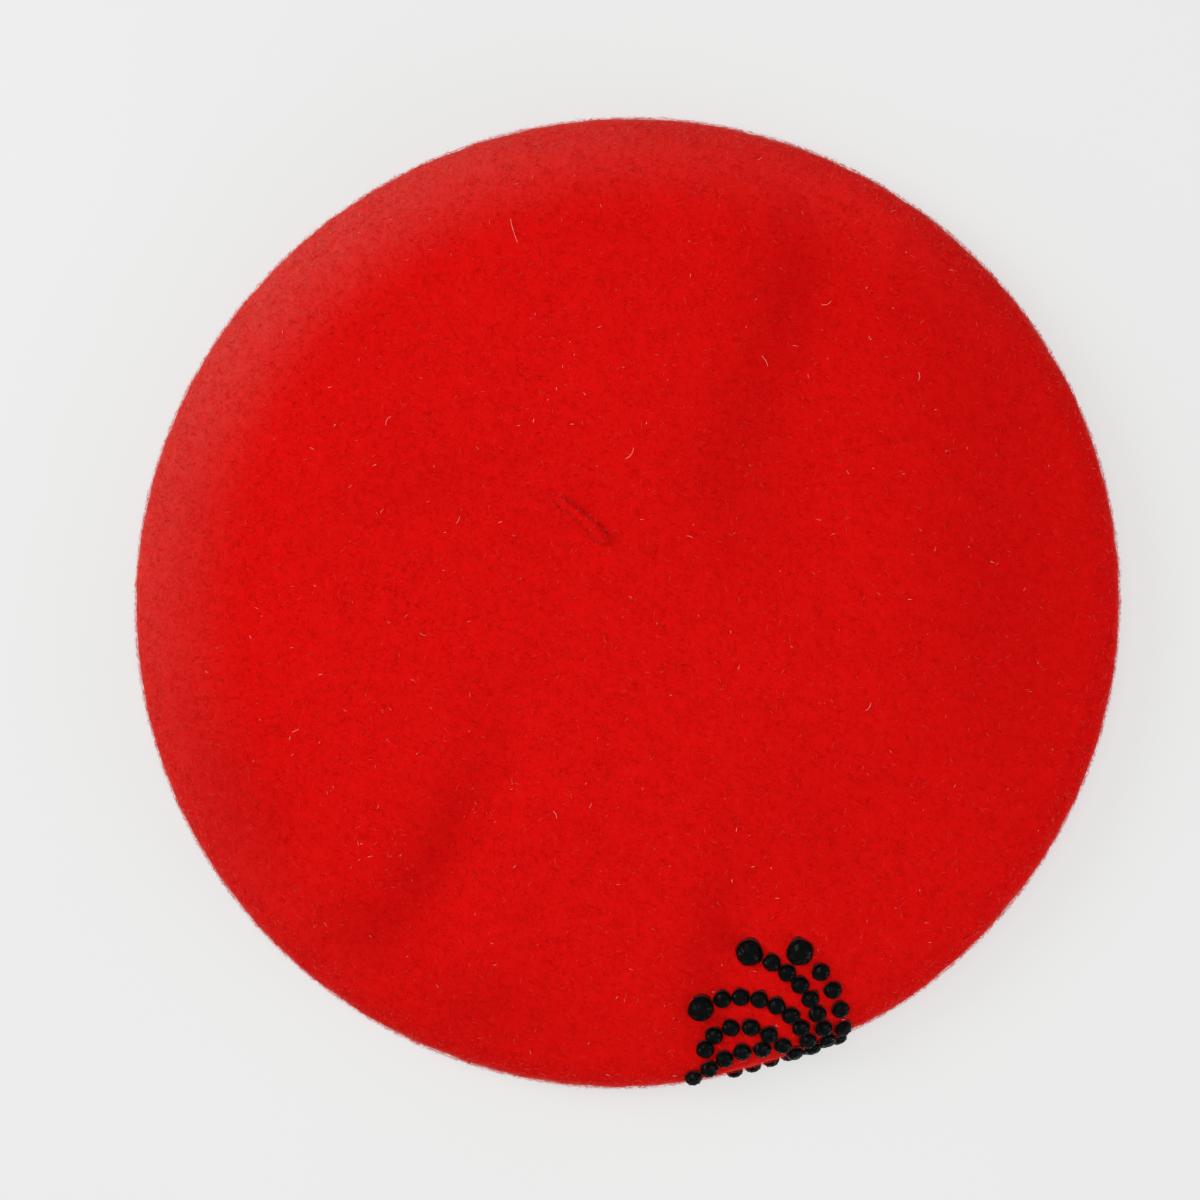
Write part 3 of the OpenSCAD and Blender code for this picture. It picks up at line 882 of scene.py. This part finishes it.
# ---------------------------------------------------------------- lint
def lint():
    """Long pale hairs and short pale flecks that have settled on the crown."""
    # Each hair: (x, y, direction, length, curl).
    hairs = [(-33, 108, 280, 7.5, 0.1), (-1, 40, 20, 4.2, 0.5), (39, 66, 100, 3.6, 0.3),
             (81, 62, 60, 2.6, 0.4), (-94, -36, 10, 2.2, 0.2), (-66, 52, 200, 3, 0.6),
             (18, 18, 140, 2, 0.3), (54, 84, 330, 3.4, 0.7), (-20, -60, 80, 2.4, 0.5),
             (66, -30, 30, 2.8, 0.4), (-58, -8, 300, 2.2, 0.5), (-48, 22, 45, 2.6, 0.3)]
    parts = []
    for x, y, way, length, curl in hairs:
        t = np.linspace(0, 1, 14)
        h = math.radians(way) + curl * 2.2 * t
        px = x + np.cumsum(np.cos(h)) * length / len(t)
        py = y + np.cumsum(np.sin(h)) * length / len(t)
        pz = crown_height(px, py) + 0.12 + 0.35 * np.sin(t * math.pi)
        parts.append(tube(np.stack([px, py, pz], -1), 0.05 + 0 * t, 6))
    p, quads, ends = join_parts(parts)
    piece = make_mesh("lint", p, [quads, ends], [LINT[0]])
    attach(piece, "root")
    rng = np.random.default_rng(SEED + 9)
    count, spread = 420, 136
    r, a = spread * np.sqrt(rng.uniform(0, 1, count)), rng.uniform(0, 360, count)
    x, y = r * np.cos(np.radians(a)), r * np.sin(np.radians(a))
    roots = np.stack([x, y, crown_height(x, y) + 0.15], -1)
    lie = unit(np.stack([rng.normal(size=count), rng.normal(size=count), 0.1 * rng.normal(size=count)], -1))
    flecks = fibres("flecks", roots, lie, np.tile([0, 0, 1.0], (count, 1)), rng.uniform(0.5, 1.6, count),
                    rng.uniform(0.1, 0.22, count), rng.uniform(-1, 1, count), LINT, rng)
    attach(flecks, "root")


lint()


# ---------------------------------------------------------------- the stage
def stage():
    """A pale table, which glows a little so that it stays bright under the soft light."""
    size = 3000.0
    floor = make_mesh("floor", [(-size, -size, 0), (size, -size, 0), (size, size, 0), (-size, size, 0)],
                      [np.array([[0, 1, 2, 3]])], [], False)
    material, nodes, links, shader = new_material("pale_table")
    cloud = texture(nodes, links, "ShaderNodeTexNoise", 3, Detail=2)
    colour = ramp(nodes, links, cloud.outputs["Fac"],
                  [(0.3, (0.205, 0.21, 0.21)), (0.7, (0.225, 0.23, 0.23))])
    links.new(colour, shader.inputs["Base Color"])
    shader.inputs["Roughness"].default_value = 0.7
    shader.inputs["Specular IOR Level"].default_value = 0.1
    shader.inputs["Emission Color"].default_value = (1.0, 1.0, 0.99, 1)
    shader.inputs["Emission Strength"].default_value = 0.60
    floor.data.materials.append(material)


def area_light(name, place, size, power):
    """A round lamp at a place, turned towards the hat."""
    light = bpy.data.lights.new(name, "AREA")
    light.shape = "DISK"
    light.size = size
    light.energy = power
    lamp = bpy.data.objects.new(name, light)
    bpy.context.scene.collection.objects.link(lamp)
    lamp.location = place
    lamp.rotation_euler = (-Vector(place)).to_track_quat("-Z", "Y").to_euler()


def lighting():
    world = bpy.data.worlds.new("soft_room")
    bpy.context.scene.world = world
    world.use_nodes = True
    background = world.node_tree.nodes["Background"]
    background.inputs["Color"].default_value = (0.985, 0.995, 1.0, 1)
    background.inputs["Strength"].default_value = 0.46
    area_light("window", (-1.2, 0.42, 1.0), 0.8, 10.8)
    area_light("softbox", (-0.25, 0.15, 1.6), 1.1, 8.6)
    area_light("fill", (1.2, -0.75, 0.42), 0.9, 6.0)


def camera():
    """Straight above the hat, framed so that it fills about four fifths of the picture."""
    above = 0.80
    view_width = 0.3428     # width of the picture at the rim's height
    sensor = 36
    lens = bpy.data.cameras.new("camera")
    lens.sensor_width = sensor
    lens.lens = sensor * (above - RIM_H * MM) / view_width
    eye = bpy.data.objects.new("camera", lens)
    bpy.context.scene.collection.objects.link(eye)
    eye.location = (-0.00786, 0.00086, above)
    eye.rotation_euler = (0, 0, 0)
    bpy.context.scene.camera = eye


stage()
lighting()
camera()
bpy.context.scene.view_settings.view_transform = "Standard"
